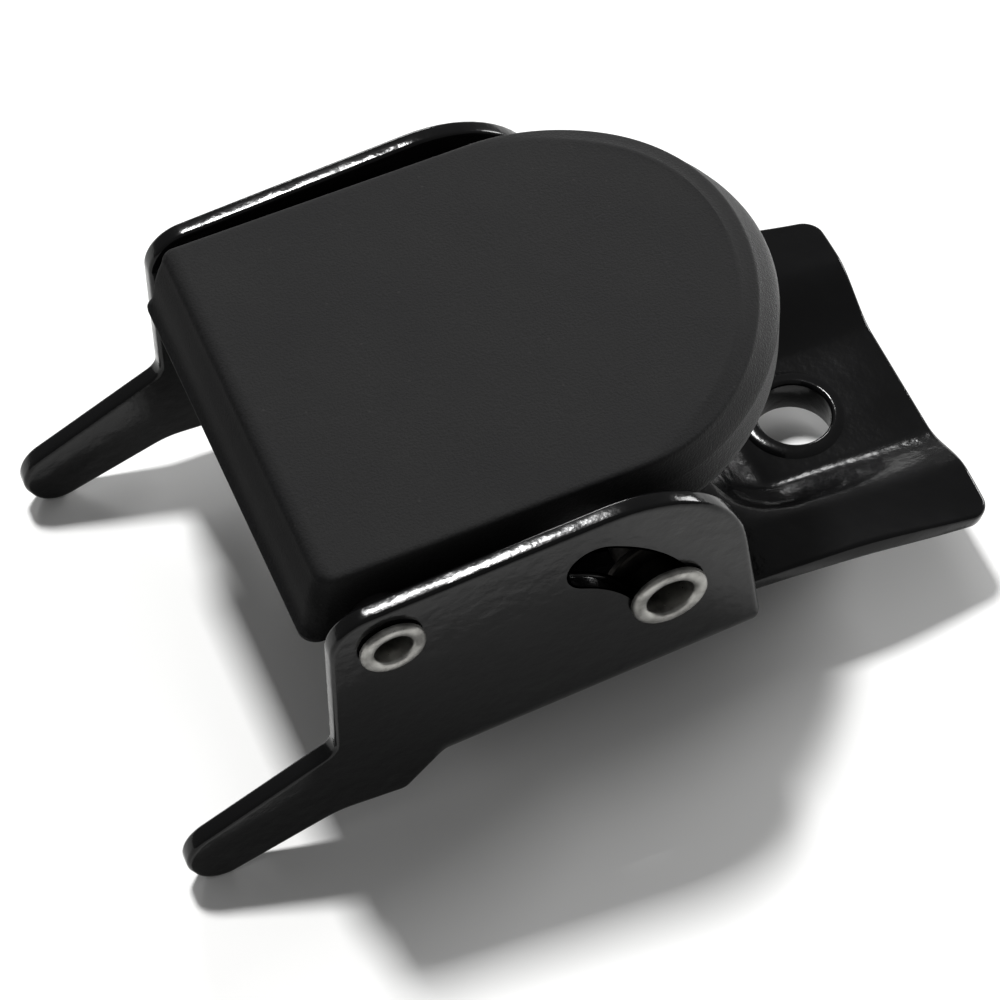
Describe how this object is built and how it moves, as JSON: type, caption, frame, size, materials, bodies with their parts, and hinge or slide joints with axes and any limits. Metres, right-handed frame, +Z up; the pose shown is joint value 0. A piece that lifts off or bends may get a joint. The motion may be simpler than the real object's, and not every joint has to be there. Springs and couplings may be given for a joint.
{
  "type": "cleat horn bracket",
  "caption": "Black steel channel bracket with two horns, slotted cheeks, hollow rivets and a sprung rubber pad that swings up along a guide bar; bolts down through its dished tail.",
  "frame": {"origin": "centre of the bottom of the part's bounding box, level with the undersides of the horn tips", "axes": "+X from the horns towards the bolted tail, +Y across the width, +Z up through the pad; Y is the symmetric direction"},
  "size_m": [0.1026, 0.061, 0.0456],
  "materials": {
    "black_enamel": "glossy black stoved enamel on pressed steel",
    "black_coated_steel": "satin black e-coat",
    "black_rubber": "matte moulded rubber, finely textured",
    "zinc_rivet": "zinc plated steel, dulled and rolled over",
    "zinc_steel": "zinc plated steel, turned",
    "nylon": "black moulded nylon",
    "spring_wire": "drawn spring wire, oiled"
  },
  "bodies": {
    "bracket": {"bracket_frame": "black_enamel", "mount_bush": "black_enamel", "hinge_rivet": "zinc_rivet", "hinge_spacer_near": "nylon", "hinge_spacer_far": "nylon", "closing_spring": "spring_wire"},
    "pad_lever": {"pad_carrier": "black_coated_steel", "hinge_bushing_near": "nylon", "hinge_bushing_far": "nylon", "rubber_pad": "black_rubber"},
    "guide": {"guide_bar": "zinc_rivet", "bar_washer_near": "zinc_steel", "bar_washer_far": "zinc_steel", "bar_sleeve": "zinc_steel"}
  },
  "joints": [
    {"name": "pad_hinge", "type": "hinge", "parent": "bracket", "child": "pad_lever", "pos_m": [-0.02604, 0, 0.03504], "axis": [0, -1, 0], "range_deg": [0, 16.5], "stiffness_Nm_per_rad": 0.05, "springref_deg": -28.65, "deforming": ["closing_spring"]},
    {"name": "bar_travel", "type": "hinge", "parent": "bracket", "child": "guide", "pos_m": [-0.00995, 0, 0.02004], "axis": [0, -1, 0], "range_deg": [0, 42.9]}
  ],
  "couplings": [
    {"joint": "bar_travel", "follows": "pad_hinge", "ratio": 2.6}
  ]
}
